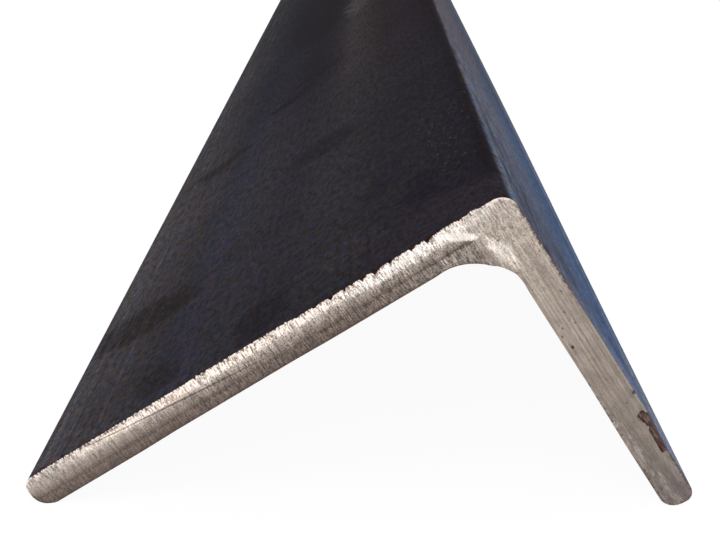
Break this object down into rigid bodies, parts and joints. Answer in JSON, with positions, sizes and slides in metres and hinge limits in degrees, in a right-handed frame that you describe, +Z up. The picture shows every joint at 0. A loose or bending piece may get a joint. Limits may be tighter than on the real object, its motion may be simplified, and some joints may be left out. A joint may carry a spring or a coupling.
{
  "type": "metal angle section",
  "caption": "Unequal-leg hot-rolled steel angle: one L-shaped bar with a rounded heel, root fillet and rounded toes, dark mill-scale faces and bare sawn ends.",
  "frame": {"origin": "on the floor under the middle of the bar's bounding box, with the bar lying on both toes, heel up", "axes": "+Y along the bar's length, away from the bevelled sawn end; +Z up; the long leg slopes down to -X and the short leg down to +X"},
  "size_m": [0.0904, 0.9144, 0.0435],
  "materials": {
    "hot_rolled_steel": "black-blue mill scale as hot rolled, with bare saw-cut ends"
  },
  "bodies": {
    "root": {"angle_section": "hot_rolled_steel"}
  },
  "joints": []
}
